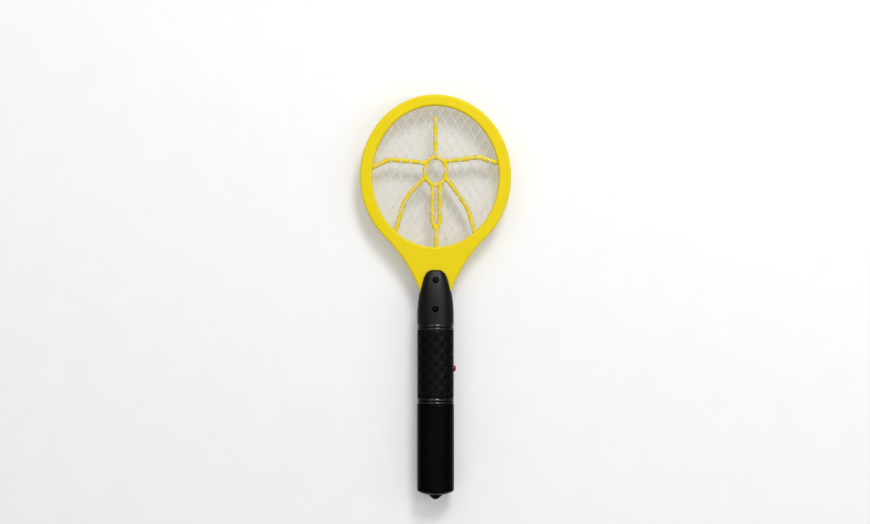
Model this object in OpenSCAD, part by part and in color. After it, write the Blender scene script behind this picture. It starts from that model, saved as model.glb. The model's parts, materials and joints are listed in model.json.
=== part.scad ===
// Hand-held electric fly swatter, lying on its back.
// +Y runs from the battery end to the head, +Z is the front face, Z = 0 is the
// surface it lies on. Lengths are millimetres. Inside the modules, Z is counted
// from the swatter's mid-plane, which at_axis() lifts to its real height.

/* [Head] */
// Half the width of the head, across the ring
head_half_w = 74.6; // [72:0.2:78]
// Half the height of the head's oval
head_half_h = 80.9; // [78:0.1:84]
// Half the width of the opening in the ring
opening_half_w = 62.6; // [61:0.1:65]
// Half the height of the opening in the ring
opening_half_h = 69.8; // [69:0.1:73]
// Radius of the hollow curve from the oval down to the neck
flare_r = 144.8; // [135:0.2:155]
// Slope of the outline where the oval meets that curve, in degrees
flare_angle = 45.6; // [44:0.1:47]
// Thickness of the head, both shells together
head_t = 13; // [12:0.2:14]
// Wall of the head shells
shell_wall = 2; // [1.6:0.1:2.4]
// Half the width of the tang that the handle clamps
tang_half_w = 11.5; // [10:0.1:12]

/* [Grids and ribs] */
// Angle of the grid wires from the swatter's width
wire_angle = 58.3; // [50:0.1:65]
// Distance between neighbouring wires of the outer grids
outer_pitch = 8.3; // [6:0.1:10]
// Wires of the centre grid for each wire of an outer grid
centre_density = 3; // [2:1:4]
// Width and thickness of an outer grid's wires
outer_wire = 0.6; // [0.4:0.1:0.8]
// Width and thickness of the centre grid's wires
centre_wire = 0.4; // [0.3:0.05:0.5]
// Width of a guard rib
rib_w = 3.8; // [3:0.1:4.5]

/* [Handle] */
// Radius of the grip
grip_r = 18; // [17.5:0.1:18]
// Wall of the handle shells
handle_wall = 2.2; // [1.8:0.1:2.6]
// Radius of the nose's two side curves, seen from the front
nose_curve_r = 120; // [100:5:140]
// Radius of the nose's front and rear curves, seen from the side
nose_face_r = 132; // [125:1:150]
// Radius of the spigot that the battery tube slides over
spigot_r = 15.95; // [15.9:0.01:15.97]
// Radius of the screw recesses
recess_r = 3.2; // [2.9:0.05:3.4]

/* [Button] */
// Radius of the button
button_r = 3.15; // [2.8:0.05:3.15]
// Travel of the button
button_travel = 1.2; // [0.8:0.1:1.3]

/* [Battery tube] */
// Outside radius of the battery tube
tube_r = 18.3; // [18.2:0.1:18.6]
// Radius of the battery tube's bore
tube_bore_r = 16; // [16:0.01:16.04]
// Radius of the battery cradle
cradle_r = 15.6; // [15.4:0.1:15.7]

/* [Cells] */
// Radius of a cell
cell_r = 7.15; // [6.9:0.05:7.2]
// Length of a cell over its button
cell_len = 50.5; // [49.2:0.1:50.5]
// Length of a fitted contact spring
spring_len = 9; // [7:0.5:10]

/* [Hidden] */

$fn = 96;
eps = 0.02;

// Stations along Y
half_len = 200;
head_y = half_len - head_half_h;
nose_tip_y = 26.8;
screw_y = [16.9, -11.7];
neck_y = 5.5;
nose_root_y = -18;
tang_end_y = -22;
upper_bead_y = -29.5;
lower_bead_y = -102.6;
handle_end_y = -105.5;
spigot_end_y = -117.5;
board_y = [-98, -36];
button_y = -70.6;
led_y = -58;

// Heights above or below the mid-plane
axis_z = tube_r;
half_t = head_t / 2;
face_z = half_t - shell_wall;
grid_z = face_z - outer_wire;
centre_z = 0.5;
board_top_z = -3.5;
board_t = 1.6;

// Head outline: an oval, then a hollow arc to the neck
join_t = atan(head_half_h / head_half_w * tan(flare_angle));
join_pt = [head_half_w * cos(join_t), head_y - head_half_h * sin(join_t)];
flare_c = join_pt + flare_r * [cos(flare_angle), -sin(flare_angle)];
neck_t = asin((neck_y - flare_c.y) / flare_r);
ring_steps = 60;
flare_steps = 12;

// Rim that the grids and spacers share, hidden inside the ring
rim_out = 6.3;
rim_in = 1.5;
// Solder tab of each grid, at the foot of its rim
tab = 6;
tab_y = 36;
// Station of the wire crossing that lies on the centre line, near the top
crossing_y = 188.5;
// Wires shorter than this are left out
shortest_wire = 6;

// Guard ribs: each is a chain of points from the hub to the ring
hub_y = 124.5;
hub_half = [10.7, 13.5];
rib_chains = [
    [[0, 138], [0, 177.5]],
    [[-10, 132.5], [-33.5, 135], [-45, 136], [-51.5, 133.5], [-66, 126]],
    [[10, 134], [29.5, 136.5], [43, 138.5], [50, 136], [66, 131]],
    [[-10, 120], [-13.5, 115], [-24.5, 103.5], [-30, 96], [-33.5, 87], [-40.5, 60]],
    [[10, 120], [17, 109.5], [27.5, 94.5], [32, 87], [39.5, 61]],
    [[-3, 112], [-3, 73], [0.8, 66.5], [0.8, 44]],
    [[4.5, 112], [4.5, 73], [0.8, 66.5]]
];

// Rounded corners of the nose's tip, from the slope of its sides to square across
corner_r = 8.9;
corner_c = [2.87, nose_tip_y - corner_r];
corner_slope = 18.5;

// Screws
screw_shank_r = 1.45;
screw_hole_r = 1.55;
screw_head_r = 2.7;
screw_head_t = 2.1;
screw_len = 19;
boss_r = 5;
recess_floor_z = [8.4, 9.6];

// Switch and button, counted along X from the axis
switch_face_x = 10;
plunger_out = button_travel + 0.8;
plunger_r = 1.72;
stem_r = 2.5;
stem_len = 2.5;
flange_x = 13.9;
flange_r = 4.2;
button_tip_x = 20.3;
lens_r = 1.5;

// Battery end
spigot_wall = 2.35;
carrier_t = 3;
bead_r = 1.45;
bead_gap = 1.5;
bead_out_r = tube_r - 0.05;
groove_r = 1;
tube_mouth_y = handle_end_y - 0.1;
tube_edge_y = -191.1;
tube_inner_end_y = -187;
// The end of the tube: a dome that flattens towards the nub
dome_h = 4.15;
dome_power = 3.55;
nub_r = 7.5;
nub_tip_r = 5.5;
carrier_y = -115.5;
contact_t = 0.5;
cell_x = 7.6;
cradle_top_y = -118;
cradle_end_t = 2;
nub_len = 1.2;
bay_top_y = cradle_top_y - cradle_end_t;
bay_len = cell_len + spring_len + 2 * contact_t;
bay_end_y = bay_top_y - bay_len;

spring_wire_r = 0.4;
spring_turns = 5;

// Transformer core and the middle leg that carries its winding
core_size = [14, 5, 12];
core_leg = 4;
core_y = -48;

// Routes of the leads, from the circuit board to the grids
front_lead = [[6.5, -37, -2.7], [6.5, -34, -2.2], [6.5, -30, -0.8], [6.5, -25, 0],
              [6.5, 20, 0], [6, 30, 0.6], [5, 35, 2.1], [4, 38, 3.1]];
rear_lead = [[8.5, -37, -2.7], [8.5, -34, -2.4], [8.5, -30, -1.6], [8.5, -25, -1.2],
             [8.5, 20, -1.2], [8, 30, -1.6], [6.5, 35, -2.5], [4, 38, -3.1]];
centre_lead = [[-7, -37, -2.7], [-7, -34, -2.2], [-7, -30, -0.8], [-7, -25, 0],
               [-7, 20, 0], [-6.5, 30, 0.2], [-5.5, 34, 1.1], [-4, 38, 1.3]];
plus_lead = [[7.6, -111.9, 0], [7.6, -108, 0], [8, -104, -1.2], [8, -100, -2.4], [8, -96.5, -2.7]];
minus_lead = [[-7.6, -111.9, 0], [-7.6, -108, 0], [-8, -104, -1.2], [-8, -100, -2.4], [-8, -96.5, -2.7]];
lead_r = 0.75;
// Notches in the tang's end that the leads pass through, counted from the centre line
lead_notch_x = [5.5, 9.5];
lead_notch_z = 2.2;

yellow = [0.93, 0.82, 0.12];
black = [0.09, 0.09, 0.09];
steel = [0.75, 0.76, 0.78];
brass = [0.80, 0.65, 0.30];

// ---------- shared shapes ----------

// Lifts a shape from the mid-plane to its height above the floor
module at_axis() translate([0, 0, axis_z]) children();

// Stands a shape that is built along Z on station y, pointing to the battery end
module along_y(y) translate([0, y, 0]) rotate([90, 0, 0]) children();

// Keeps the front half of a shape, or the rear half
module half(front) {
    big = 2 * half_len;
    intersection() {
        children();
        translate([-big / 2, -big / 2, front ? 0 : -big]) cube([big, big, big]);
    }
}

function unit(v) = v / norm(v);

// A point of the head's oval, moved inwards by inset
function ring_point(t, inset) =
    let (n = [cos(t) / head_half_w, sin(t) / head_half_h])
    [head_half_w * cos(t), head_y + head_half_h * sin(t)] - inset * unit(n);

// A point of the hollow arc, moved inwards by inset
function flare_point(t, inset) = flare_c - (flare_r + inset) * [cos(t), -sin(t)];

// The right side of the head's outline, from the top down to the end of the tang
function head_side(inset) = concat(
    [for (i = [0:ring_steps]) ring_point(90 - (90 + join_t) * i / ring_steps, inset)],
    [for (i = [1:flare_steps])
        flare_point(flare_angle + (neck_t - flare_angle) * i / flare_steps, inset)],
    [[tang_half_w - inset, flare_point(neck_t, inset).y], [tang_half_w - inset, tang_end_y + inset]]
);

function mirrored(points) = [for (i = [len(points) - 1:-1:0]) [-points[i].x, points[i].y]];

module head_plan(inset = 0) {
    side = head_side(inset);
    left = mirrored(side);
    polygon(concat(side, [for (i = [0:len(left) - 2]) left[i]]));
}

module ellipse(a, b, step = 3) {
    polygon([for (t = [0:step:359]) [a * cos(t), b * sin(t)]]);
}

// The opening's oval, grown by a margin
module oval(grow = 0) {
    translate([0, head_y]) ellipse(opening_half_w + grow, opening_half_h + grow);
}

// A bar with round ends for each pair of neighbouring points
module chain_bars(points, w) {
    for (i = [0:len(points) - 2]) {
        d = points[i + 1] - points[i];
        translate(points[i]) rotate(atan2(d.y, d.x)) translate([0, -w / 2]) square([norm(d), w]);
        translate(points[i + 1]) circle(d = w, $fn = 12);
    }
    translate(points[0]) circle(d = w, $fn = 12);
}

// Parallel bars at both wire angles, one crossing on the centre line near the top
module lattice(pitch, w) {
    reach = 2 * head_half_h + 20;
    count = ceil(reach / pitch);
    for (side = [-1, 1], i = [-count:count])
        translate([0, crossing_y]) rotate(side * wire_angle)
            translate([-reach, i * pitch - w / 2]) square([2 * reach, w]);
}

// Ends of the line at distance s from the opening's centre, inside its grown oval;
// a line that only grazes the oval gets none
function chord(angle, s, grow) =
    let (
        a = opening_half_w + grow,
        b = opening_half_h + grow,
        d = [cos(angle) / a, sin(angle) / b],
        n = [-sin(angle) / a, cos(angle) / b] * s,
        qa = d * d,
        qb = 2 * (d * n),
        qc = n * n - 1,
        disc = qb * qb - 4 * qa * qc
    )
    disc <= pow(qa * shortest_wire, 2) ? [] : [(-qb - sqrt(disc)) / (2 * qa), (-qb + sqrt(disc)) / (2 * qa)];

function wire_ring(c, t, up, r, sides) =
    let (s = unit(cross(t, up)), w = cross(s, t))
    [for (k = [0:sides - 1]) c + r * (cos(360 * k / sides) * s + sin(360 * k / sides) * w)];

function tangent(p, i) = unit(p[min(i + 1, len(p) - 1)] - p[max(i - 1, 0)]);

// A round wire swept along its centre line
module wire(points, r, sides = 8, up = [0, 0, 1]) {
    n = len(points);
    rings = [for (i = [0:n - 1]) each wire_ring(points[i], tangent(points, i), up, r, sides)];
    walls = [for (i = [0:n - 2], k = [0:sides - 1])
        [i * sides + k, i * sides + (k + 1) % sides,
         (i + 1) * sides + (k + 1) % sides, (i + 1) * sides + k]];
    first = [[for (k = [sides - 1:-1:0]) k]];
    last = [[for (k = [0:sides - 1]) (n - 1) * sides + k]];
    polyhedron(points = rings, faces = concat(walls, first, last));
}

// ---------- head ----------

// One head shell, front side up; its mate is the mirror image
module head_shell() {
    difference() {
        linear_extrude(half_t) head_plan();
        translate([0, 0, -1]) linear_extrude(face_z + 1) difference() {
            head_plan(shell_wall);
            for (y = screw_y) translate([0, y]) circle(r = 4, $fn = 32);
        }
        translate([0, 0, -1]) linear_extrude(head_t) oval();
        for (y = screw_y) translate([0, y, -1]) cylinder(r = screw_hole_r, h = head_t);
        for (m = [0, 1]) mirror([m, 0, 0]) translate([lead_notch_x[0], tang_end_y - 1, -1])
            cube([lead_notch_x[1] - lead_notch_x[0], shell_wall + 2, lead_notch_z + 1]);
    }
}

module head_front_shell() {
    color(yellow) at_axis() head_shell();
}

module head_rear_shell() {
    color(yellow) at_axis() mirror([0, 0, 1]) head_shell();
}

// Spacer that carries the guard ribs and keeps an outer grid off the centre grid
module spacer() {
    translate([0, 0, centre_z]) linear_extrude(grid_z - centre_z) {
        difference() {
            oval(rim_out);
            oval();
        }
        intersection() {
            oval(2);
            union() {
                for (chain = rib_chains) chain_bars(chain, rib_w);
                translate([0, hub_y]) difference() {
                    ellipse(hub_half.x + rib_w / 2, hub_half.y + rib_w / 2, 7.5);
                    ellipse(hub_half.x - rib_w / 2, hub_half.y - rib_w / 2, 7.5);
                }
            }
        }
    }
}

module front_spacer() {
    color(yellow) at_axis() spacer();
}

module rear_spacer() {
    color(yellow) at_axis() mirror([0, 0, 1]) spacer();
}

// Outer grid: one stamped sheet, with a rim and a solder tab
module outer_grid() {
    translate([0, 0, grid_z]) linear_extrude(outer_wire) {
        intersection() {
            lattice(outer_pitch, outer_wire);
            oval((rim_in + rim_out) / 2);
        }
        difference() {
            oval(rim_out);
            oval(rim_in);
        }
        translate([1, tab_y]) square(tab);
    }
}

module front_grid() {
    color(steel) at_axis() outer_grid();
}

module rear_grid() {
    color(steel) at_axis() mirror([0, 0, 1]) outer_grid();
}

// Centre grid: two layers of fine wires in a thin frame
module centre_grid() {
    pitch = outer_pitch / centre_density;
    count = floor((opening_half_h + rim_in) / pitch);
    // Distance of the lattice's own centre line from the opening's centre
    shift = (crossing_y - head_y) * cos(wire_angle);
    color(steel) at_axis() {
        translate([0, 0, -centre_z]) linear_extrude(2 * centre_z) {
            difference() {
                oval(rim_out);
                oval(rim_in);
            }
            translate([-1 - tab, tab_y]) square(tab);
        }
        for (side = [-1, 1], i = [-count:count]) {
            offset_n = (shift / pitch - floor(shift / pitch) + i) * pitch;
            ends = chord(side * wire_angle, offset_n, rim_in + 0.8);
            if (len(ends) == 2)
                translate([0, head_y, side > 0 ? eps : -centre_wire - eps])
                    rotate(side * wire_angle)
                    translate([ends[0], offset_n - centre_wire / 2, 0])
                    cube([ends[1] - ends[0], centre_wire, centre_wire]);
        }
    }
}

// ---------- handle ----------

// Half width of the handle at station y, seen from the front
function nose_half_w(y) = grip_r - nose_curve_r + sqrt(pow(nose_curve_r, 2) - pow(y - nose_root_y, 2));

function nose_side(inset) = concat(
    [[grip_r - inset, upper_bead_y]],
    [for (y = [nose_root_y:4:nose_tip_y - 7]) [nose_half_w(y) - inset, y]],
    [for (i = [0:6]) let (t = corner_slope + (90 - corner_slope) * i / 6)
        corner_c + (corner_r - inset) * [cos(t), sin(t)]]
);

module nose_plan(inset) {
    side = nose_side(inset);
    polygon(concat(side, mirrored(side)));
}

// The nose: the grip's cylinder, narrowed in plan and by a long curve on each face
module nose(inset = 0) {
    len = nose_tip_y - upper_bead_y;
    intersection() {
        translate([0, 0, -grip_r]) linear_extrude(2 * grip_r) nose_plan(inset);
        along_y(nose_tip_y) cylinder(r = grip_r - inset, h = len);
        nose_face(inset);
        mirror([0, 0, 1]) nose_face(inset);
    }
}

// Everything below the nose's front curve, and below the grip's top behind its root
module nose_face(inset) {
    w = 2 * grip_r + 4;
    translate([0, nose_root_y, grip_r - nose_face_r]) rotate([0, 90, 0])
        cylinder(r = nose_face_r - inset, h = w, center = true);
    translate([-w / 2, upper_bead_y - 1, -2 * grip_r])
        cube([w, nose_root_y - upper_bead_y + 1, 3 * grip_r]);
}

module bead_pair(y) {
    for (side = [-1, 1]) along_y(y + side * bead_gap)
        rotate_extrude() translate([bead_out_r - bead_r, 0]) circle(r = bead_r, $fn = 32);
}

// Outside of the handle, both shells together
module handle_solid() {
    difference() {
        union() {
            nose();
            along_y(upper_bead_y) cylinder(r = grip_r, h = upper_bead_y - handle_end_y);
            along_y(handle_end_y) cylinder(r = spigot_r, h = handle_end_y - spigot_end_y);
            bead_pair(upper_bead_y);
            bead_pair(lower_bead_y);
        }
        for (y = [upper_bead_y, lower_bead_y]) along_y(y)
            rotate_extrude() translate([grip_r + 0.4, 0]) circle(r = groove_r, $fn = 32);
    }
}

// Space inside the handle, with the boss round the lower screw left standing
module handle_cavity() {
    difference() {
        union() {
            intersection() {
                nose(handle_wall);
                translate([-30, upper_bead_y, -30]) cube([60, neck_y - 2 - upper_bead_y, 60]);
            }
            along_y(upper_bead_y + eps)
                cylinder(r = grip_r - handle_wall, h = upper_bead_y - handle_end_y - handle_wall);
            along_y(handle_end_y + 5)
                cylinder(r = spigot_r - spigot_wall, h = handle_end_y + 6 - spigot_end_y);
        }
        translate([0, screw_y[1], -grip_r]) cylinder(r = boss_r, h = 2 * grip_r);
    }
}

module handle_shell(front) {
    half(front) difference() {
        handle_solid();
        handle_cavity();
        // Pocket for the head's neck and tang
        translate([0, 0, -half_t - 0.05]) linear_extrude(head_t + 0.1) head_plan(-0.1);
        // Holes for the button and the indicator
        translate([10, button_y, 0]) rotate([0, 90, 0]) cylinder(r = button_r + 0.05, h = 20);
        translate([10, led_y, 0]) rotate([0, 90, 0]) cylinder(r = lens_r + 0.05, h = 20);
        for (y = screw_y) translate([0, y, -13]) cylinder(r = screw_hole_r, h = 40);
        for (i = [0, 1]) translate([0, screw_y[i], recess_floor_z[i]])
            cylinder(r = recess_r, h = 20);
    }
}

module handle_front_shell() {
    color(black) at_axis() handle_shell(true);
}

module handle_rear_shell() {
    color(black) at_axis() {
        handle_shell(false);
        // Posts that carry the circuit board
        intersection() {
            for (x = [-9, 9], y = [board_y[0] + 5, board_y[1] - 5])
                translate([x, y, -grip_r]) cylinder(r = 2, h = grip_r + board_top_z - board_t);
            along_y(upper_bead_y) cylinder(r = grip_r - 1, h = upper_bead_y - handle_end_y);
        }
    }
}

// Two pan-head screws, seen from the front
module handle_screws() {
    color(steel) at_axis() for (i = [0, 1]) translate([0, screw_y[i], recess_floor_z[i]]) {
        difference() {
            intersection() {
                cylinder(r = screw_head_r, h = screw_head_t);
                translate([0, 0, -2.6]) sphere(r = 4.7);
            }
            for (a = [45, 135]) rotate(a) translate([-1.7, -0.4, screw_head_t - 1]) cube([3.4, 0.8, 2]);
        }
        translate([0, 0, -screw_len]) cylinder(r = screw_shank_r, h = screw_len);
    }
}

// ---------- button and switch ----------

module button_cap() {
    dome = 2.3;
    body_len = button_tip_x - flange_x - dome;
    color([0.60, 0.08, 0.12]) at_axis() translate([flange_x, button_y, 0]) rotate([0, 90, 0]) {
        cylinder(r = flange_r, h = 1);
        cylinder(r = button_r, h = body_len);
        translate([0, 0, switch_face_x + plunger_out - flange_x]) cylinder(r = stem_r, h = stem_len);
        translate([0, 0, body_len]) rotate_extrude()
            polygon(concat([[0, 0]], [for (t = [0:15:90]) [button_r * cos(t), dome * sin(t)]]));
    }
}

module switch_plunger() {
    inside = 1.6;
    color([0.85, 0.85, 0.83]) at_axis() translate([switch_face_x - inside, button_y, 0])
        rotate([0, 90, 0]) cylinder(r = plunger_r, h = inside + plunger_out);
}

module tact_switch() {
    size = [6, 6, 7];
    color([0.15, 0.15, 0.16]) at_axis() difference() {
        translate([switch_face_x - size.x, button_y - size.y / 2, board_top_z]) cube(size);
        translate([switch_face_x - 3, button_y, 0]) rotate([0, 90, 0]) cylinder(r = plunger_r + 0.05, h = 5);
    }
}

module indicator_led() {
    color([0.85, 0.15, 0.12]) at_axis() translate([11.5, led_y, 0]) {
        rotate([0, 90, 0]) {
            cylinder(r = 1.9, h = 1);
            cylinder(r = lens_r, h = 4);
            translate([0, 0, 4]) sphere(r = lens_r);
        }
        for (y = [-0.7, 0.7]) translate([0.5, y, board_top_z]) cylinder(r = 0.25, h = -board_top_z - 0.5);
    }
}

// ---------- electronics ----------

module on_board(x, y) translate([x, y, board_top_z]) children();

module circuit_board() {
    w = 25;
    color([0.10, 0.38, 0.20]) at_axis() difference() {
        translate([-w / 2, board_y[0], board_top_z - board_t]) cube([w, board_y[1] - board_y[0], board_t]);
        for (x = [-w / 2, w / 2], y = board_y)
            translate([x, y, board_top_z - 5]) cylinder(r = 3, h = 10);
    }
}

module transformer_core() {
    window = [3, core_size.y + 2, 8];
    color([0.22, 0.22, 0.24]) at_axis() on_board(0, core_y) difference() {
        translate([-core_size.x / 2, -core_size.y / 2, 0]) cube(core_size);
        for (m = [0, 1]) mirror([m, 0, 0])
            translate([core_leg / 2, -window.y / 2, (core_size.z - window.z) / 2]) cube(window);
    }
}

module transformer_winding() {
    winding_h = 7.8;
    color([0.78, 0.42, 0.18]) at_axis() on_board(0, core_y)
        translate([0, 0, (core_size.z - winding_h) / 2]) difference() {
            cylinder(r = 4.9, h = winding_h);
            translate([-core_leg / 2 - 0.05, -core_size.y / 2 - 0.05, -1])
                cube([core_leg + 0.1, core_size.y + 0.1, winding_h + 2]);
        }
}

module storage_capacitor() {
    size = [6, 14, 11];
    color([0.55, 0.12, 0.08]) at_axis() on_board(-6, -66) {
        translate([-size.x / 2, -size.y / 2, 0.6]) cube(size);
        for (y = [-5, 5]) translate([0, y, 0]) cylinder(r = 0.35, h = 1);
    }
}

module multiplier_capacitors() {
    color([0.15, 0.35, 0.65]) at_axis() for (y = [-78, -84]) on_board(-6, y) {
        translate([0, 0, 5.2]) rotate([90, 0, 0]) translate([0, 0, -1.5]) cylinder(r = 4, h = 3);
        for (x = [-2.5, 2.5]) translate([x, 0, 0]) cylinder(r = 0.3, h = 3);
    }
}

// A part that lies across the board on two bent leads
module axial_part(body_r, body_len, span) {
    lead = 0.3;
    translate([-body_len / 2, 0, body_r + 0.4]) rotate([0, 90, 0]) cylinder(r = body_r, h = body_len);
    translate([-span / 2, 0, body_r + 0.4]) rotate([0, 90, 0]) cylinder(r = lead, h = span);
    for (x = [-span / 2, span / 2]) translate([x, 0, 0]) cylinder(r = lead, h = body_r + 0.4 + lead);
}

module diodes() {
    color([0.12, 0.12, 0.13]) at_axis() for (y = [-77, -81, -85]) on_board(5.5, y) axial_part(1.3, 4, 9);
}

module resistors() {
    color([0.72, 0.60, 0.42]) at_axis() for (y = [-90, -93.5]) on_board(-1, y) axial_part(1.1, 6, 10);
}

module transistor() {
    color([0.10, 0.10, 0.10]) at_axis() on_board(8.5, -91.5) {
        translate([0, 0, 3]) difference() {
            cylinder(r = 2.4, h = 4.6);
            translate([1.5, -4, -1]) cube([4, 8, 8]);
        }
        for (y = [-1.27, 0, 1.27]) translate([0, y, 0]) cylinder(r = 0.25, h = 3.2);
    }
}

module outer_grid_leads() {
    color([0.85, 0.10, 0.10]) at_axis() {
        wire(front_lead, lead_r);
        wire(rear_lead, lead_r);
    }
}

module centre_grid_lead() {
    color([0.95, 0.95, 0.92]) at_axis() wire(centre_lead, lead_r);
}

module battery_leads() {
    color([0.70, 0.10, 0.10]) at_axis() {
        wire(plus_lead, lead_r);
        wire(minus_lead, lead_r);
    }
}

// ---------- battery end ----------

// Disc that closes the spigot and carries the two contact discs
module contact_carrier() {
    color([0.16, 0.16, 0.16]) at_axis()
        along_y(carrier_y + carrier_t) cylinder(r = spigot_r - spigot_wall - 0.02, h = carrier_t);
}

module handle_contacts() {
    color(brass) at_axis() for (x = [-cell_x, cell_x])
        translate([x, 0, 0]) along_y(carrier_y) cylinder(r = 3.5, h = contact_t);
}

// Outside of the battery tube's closed end: a shallow dome and a blunt nub
function dome_depth(r) = dome_h * (1 - pow(r / tube_r, dome_power));

module battery_tube() {
    top = tube_mouth_y;
    edge = top - tube_edge_y;
    tip = top + half_len;
    tip_c = tip - nub_tip_r;
    profile = concat(
        [[tube_bore_r, 0], [tube_r, 0], [tube_r, edge]],
        [for (r = [tube_r - 1.1:-1.4:nub_r + 0.5]) [r, edge + dome_depth(r)]],
        [[nub_r, edge + dome_depth(nub_r)]],
        [for (t = [45:9:90]) [nub_tip_r * cos(t), tip_c + nub_tip_r * sin(t)]],
        [[0, top - tube_inner_end_y], [tube_bore_r, top - tube_inner_end_y]]
    );
    color([0.05, 0.05, 0.05]) at_axis() along_y(top) rotate_extrude() polygon(profile);
}

// Half-round cradle with an end disc at each end of the two cell troughs
module battery_cradle() {
    len = cradle_top_y - bay_end_y + cradle_end_t;
    color([0.13, 0.13, 0.13]) at_axis() {
        difference() {
            along_y(cradle_top_y) cylinder(r = cradle_r, h = len);
            translate([-20, bay_end_y, 1]) cube([40, bay_len, 20]);
            for (x = [-cell_x, cell_x]) translate([x, 0, 0]) {
                along_y(bay_top_y) cylinder(r = cell_r + 0.2, h = bay_len);
                along_y(cradle_top_y + 1) cylinder(r = 1.55, h = cradle_end_t + 2);
            }
        }
        along_y(bay_end_y - cradle_end_t) cylinder(r = 6, h = 4);
    }
}

// A cell, its button towards the head, or towards the tube's end if turned
module cell(x, turned) {
    near_y = bay_top_y - contact_t;
    far_y = bay_end_y + contact_t;
    at_axis() translate([x, turned ? far_y : near_y, 0]) rotate([turned ? -90 : 90, 0, 0]) {
        cylinder(r = 2.7, h = nub_len + 0.5);
        translate([0, 0, nub_len]) cylinder(r = cell_r, h = cell_len - nub_len);
    }
}

module cell_left() {
    color([0.80, 0.55, 0.15]) cell(-cell_x, false);
}

module cell_right() {
    color([0.80, 0.55, 0.15]) cell(cell_x, true);
}

function spring_point(t, y0, y1) =
    let (r = 3 + 2.2 * t, a = 360 * spring_turns * t) [r * cos(a), y0 + (y1 - y0) * t, r * sin(a)];

// A conical spring between a cell's flat end and its contact plate
module cell_spring(x, cell_end_y, plate_y) {
    gap = spring_wire_r * sign(plate_y - cell_end_y);
    steps = 12 * spring_turns;
    translate([x, 0, 0]) wire(
        [for (i = [0:steps]) spring_point(i / steps, cell_end_y + gap, plate_y - gap)],
        spring_wire_r, 6, [0, 1, 0]
    );
}

module cell_springs() {
    near_y = bay_top_y - contact_t;
    far_y = bay_end_y + contact_t;
    color(steel) at_axis() {
        cell_spring(-cell_x, near_y - cell_len, far_y);
        cell_spring(cell_x, far_y + cell_len, near_y);
    }
}

// Contact plate at the end of a cell's trough
module contact_pad(x, y) {
    size = [10, contact_t, 9];
    translate([x - size.x / 2, y, 0.5 - size.z / 2]) cube(size);
}

// Two plates at the tube's end with a strip that joins them over the cradle's ridge
module bridge_contact() {
    color(steel) at_axis() {
        for (x = [-cell_x, cell_x]) contact_pad(x, bay_end_y);
        translate([-cell_x, bay_end_y, 1.1]) cube([2 * cell_x, contact_t, 3]);
    }
}

// Two plates with studs that reach through the cradle's end disc
module cradle_contacts() {
    stud_top_y = carrier_y - contact_t;
    color(brass) at_axis() for (x = [-cell_x, cell_x]) {
        contact_pad(x, bay_top_y - contact_t);
        translate([x, 0, 0]) along_y(stud_top_y) cylinder(r = 1.5, h = stud_top_y - bay_top_y + eps);
        translate([x, 0, 0]) along_y(stud_top_y) cylinder(r = 2.6, h = stud_top_y - cradle_top_y);
    }
}

head_front_shell();
head_rear_shell();
front_spacer();
rear_spacer();
front_grid();
centre_grid();
rear_grid();
handle_front_shell();
handle_rear_shell();
handle_screws();
button_cap();
switch_plunger();
tact_switch();
indicator_led();
circuit_board();
transformer_core();
transformer_winding();
storage_capacitor();
multiplier_capacitors();
diodes();
resistors();
transistor();
outer_grid_leads();
centre_grid_lead();
battery_leads();
contact_carrier();
handle_contacts();
battery_tube();
battery_cradle();
cell_left();
cell_right();
cell_springs();
bridge_contact();
cradle_contacts();
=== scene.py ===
"""The looks of the electric fly swatter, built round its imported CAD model.

The swatter lies on its back: +Y runs from the battery end to the head and +Z is its front.
Its lengths are in millimetres until mm() turns them into metres, and its heights are counted
from the handle's axis. The stage, the lights and the camera are in metres over the floor.
"""
import json
import math

import bmesh
import bpy
import numpy as np
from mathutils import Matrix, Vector


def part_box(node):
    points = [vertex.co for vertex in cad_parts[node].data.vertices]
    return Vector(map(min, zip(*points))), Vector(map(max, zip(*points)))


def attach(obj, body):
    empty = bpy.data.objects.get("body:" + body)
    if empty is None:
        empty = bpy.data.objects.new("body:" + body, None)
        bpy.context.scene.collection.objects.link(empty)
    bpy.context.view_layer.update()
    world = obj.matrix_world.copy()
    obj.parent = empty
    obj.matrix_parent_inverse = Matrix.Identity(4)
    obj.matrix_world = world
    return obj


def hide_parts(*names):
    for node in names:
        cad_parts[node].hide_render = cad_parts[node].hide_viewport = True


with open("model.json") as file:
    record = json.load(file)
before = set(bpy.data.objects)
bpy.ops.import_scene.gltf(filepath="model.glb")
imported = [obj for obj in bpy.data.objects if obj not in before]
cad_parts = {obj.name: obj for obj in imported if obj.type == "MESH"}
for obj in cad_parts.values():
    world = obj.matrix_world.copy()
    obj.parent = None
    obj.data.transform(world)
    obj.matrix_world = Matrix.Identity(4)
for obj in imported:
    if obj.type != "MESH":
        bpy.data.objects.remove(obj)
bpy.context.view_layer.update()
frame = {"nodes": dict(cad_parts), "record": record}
scene = bpy.context.scene

MM = 0.001


# ---------- measures taken from the frame ----------

def box_mm(node):
    """Lowest and highest corner of a CAD node, in millimetres."""
    low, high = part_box(node)
    return low / MM, high / MM


tube_low, tube_high = box_mm("battery_tube")
head_low, head_high = box_mm("head_front_shell")
grid_low, grid_high = box_mm("front_grid")
spacer_low, spacer_high = box_mm("front_spacer")
handle_low, handle_high = box_mm("handle_front_shell")
button_low, button_high = box_mm("button_cap")
led_low, led_high = box_mm("indicator_led")

AXIS_Z = (tube_low.z + tube_high.z) / 2
TUBE_R = (tube_high.z - tube_low.z) / 2
TIP_Y = tube_low.y
MOUTH_Y = tube_high.y
HEAD_HALF_W = head_high.x
HEAD_TOP_Y = head_high.y
TANG_END_Y = head_low.y
FACE_Z = head_high.z - AXIS_Z
GRID_Z = (grid_low.z + grid_high.z) / 2 - AXIS_Z
NOSE_TIP_Y = handle_high.y
SPIGOT_END_Y = handle_low.y
BUTTON_Y = (button_low.y + button_high.y) / 2
LED_Y = (led_low.y + led_high.y) / 2

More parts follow.
